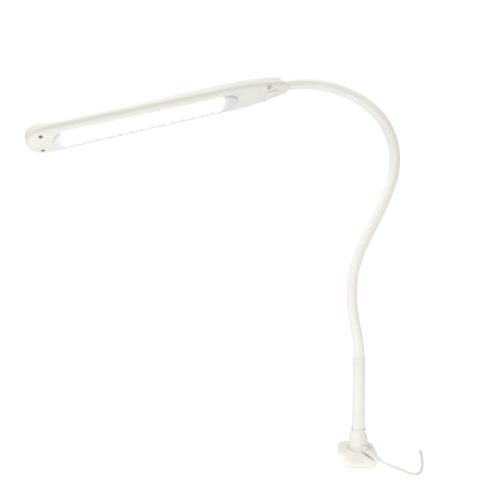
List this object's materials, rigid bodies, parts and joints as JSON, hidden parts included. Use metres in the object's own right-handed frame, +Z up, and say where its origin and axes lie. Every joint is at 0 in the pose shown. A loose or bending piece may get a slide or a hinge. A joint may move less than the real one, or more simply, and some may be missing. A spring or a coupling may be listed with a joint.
{
  "type": "clamp-on gooseneck reading lamp",
  "caption": "Slim white reading lamp: a screw clamp under a small puck grips a table's edge, and a short pole and flexible gooseneck carry a long flat head with a row of LEDs.",
  "frame": {"origin": "on the table's top face, under the pole's axis; the underside of the puck's rubber pad", "axes": "+Z up along the pole; -Y towards the reader's side of the table, +Y over the table's edge that the clamp grips; +X to the side that the neck bulges to"},
  "size_m": [0.529, 0.2546, 0.6442],
  "materials": {
    "white_plastic": "satin, fine moulded texture",
    "pole_paint": "satin powder coat",
    "neck_skin": "matt silicone-like sleeve",
    "wound_steel": "wound strip, oiled",
    "wire_jacket": "matt",
    "soft_rubber": "matt, fine ribs",
    "strap_steel": "satin powder coat",
    "plated_steel": "zinc plated",
    "cord_jacket": "smooth, slightly matt",
    "tie_strap": "soft, matt",
    "lens_diffuser": "frosted diffuser",
    "led_glow": "lit phosphor",
    "tray_aluminium": "folded sheet",
    "board_white": "white solder mask",
    "board_green": "solder mask",
    "part_black": "moulded",
    "wire_red": "smooth"
  },
  "bodies": {
    "stand": {"base_cover": "white_plastic", "base_pad": "soft_rubber", "clamp_strap": "strap_steel", "strap_screws": "plated_steel", "collar": "white_plastic", "pole": "pole_paint", "pole_stud": "plated_steel", "pole_nut": "plated_steel", "pole_lead": "wire_jacket", "neck_ferrule": "pole_paint", "strain_relief": "cord_jacket", "clamp_bush": "plated_steel", "neck_sleeve_1": "neck_skin", "neck_core_1": "wound_steel", "neck_lead_1": "wire_jacket", "cord": "cord_jacket", "cord_hank": "cord_jacket", "hank_tie": "tie_strap", "plug_grip": "cord_jacket", "plug_shell": "plated_steel"},
    "neck_2": {"neck_sleeve_2": "neck_skin", "neck_core_2": "wound_steel", "neck_lead_2": "wire_jacket"},
    "neck_3": {"neck_sleeve_3": "neck_skin", "neck_core_3": "wound_steel", "neck_lead_3": "wire_jacket"},
    "neck_4": {"neck_sleeve_4": "neck_skin", "neck_core_4": "wound_steel", "neck_lead_4": "wire_jacket"},
    "neck_5": {"neck_sleeve_5": "neck_skin", "neck_core_5": "wound_steel", "neck_lead_5": "wire_jacket"},
    "neck_6": {"neck_sleeve_6": "neck_skin", "neck_core_6": "wound_steel", "neck_lead_6": "wire_jacket"},
    "head": {"neck_sleeve_7": "neck_skin", "neck_core_7": "wound_steel", "neck_lead_7": "wire_jacket", "head_housing": "white_plastic", "head_lid": "white_plastic", "head_screws": "plated_steel", "lens": "lens_diffuser", "led_tray": "tray_aluminium", "led_board": "board_white", "leds": "led_glow", "driver_board": "board_green", "driver_parts": "part_black", "tact_switch": "part_black", "head_wires": "wire_red", "neck_stub": "plated_steel", "neck_nut": "plated_steel"},
    "button": {"switch_button": "white_plastic"},
    "foot": {"clamp_foot": "strap_steel", "foot_pad": "soft_rubber"},
    "screw": {"clamp_screw": "plated_steel", "clamp_knob": "white_plastic", "foot_clip": "plated_steel"}
  },
  "joints": [
    {"name": "bend_1", "type": "hinge", "parent": "stand", "child": "neck_2", "pos_m": [-0.00948, -0.00123, 0.21493], "axis": [-0.0043, 0.9994, 0.0346], "range_deg": [-20, 20]},
    {"name": "bend_2", "type": "hinge", "parent": "neck_2", "child": "neck_3", "pos_m": [-0.00342, -0.00493, 0.28436], "axis": [-0.9455, 0, 0.3256], "range_deg": [-20, 20]},
    {"name": "bend_3", "type": "hinge", "parent": "neck_3", "child": "neck_4", "pos_m": [0.02481, -0.01107, 0.34852], "axis": [0.0425, 0.9945, 0.0955], "range_deg": [-20, 20]},
    {"name": "bend_4", "type": "hinge", "parent": "neck_4", "child": "neck_5", "pos_m": [0.0422, -0.01878, 0.41564], "axis": [-0.9994, 0, -0.0349], "range_deg": [-20, 20]},
    {"name": "bend_5", "type": "hinge", "parent": "neck_5", "child": "neck_6", "pos_m": [0.0141, -0.02871, 0.47738], "axis": [-0.1163, 0.9877, 0.1047], "range_deg": [-20, 20]},
    {"name": "bend_6", "type": "hinge", "parent": "neck_6", "child": "head", "pos_m": [-0.04752, -0.04252, 0.50652], "axis": [-0.1908, 0, -0.9816], "range_deg": [-20, 20]},
    {"name": "button_press", "type": "slide", "parent": "head", "child": "button", "axis": [-0.4287, 0.3562, 0.8303], "range_m": [0, 0.0008], "stiffness_N_per_m": 900, "springref_m": -0.0012},
    {"name": "jaw_slide", "type": "slide", "parent": "stand", "child": "foot", "axis": [0, 0, 1], "range_m": [-0.02, 0.02]},
    {"name": "screw_turn", "type": "hinge", "parent": "foot", "child": "screw", "pos_m": [0, 0, -0.0305], "axis": [0, 0, 1], "range_deg": [-5800, 5800]}
  ],
  "couplings": [
    {"joint": "screw_turn", "follows": "jaw_slide", "rad_per_m": 5026.5}
  ]
}
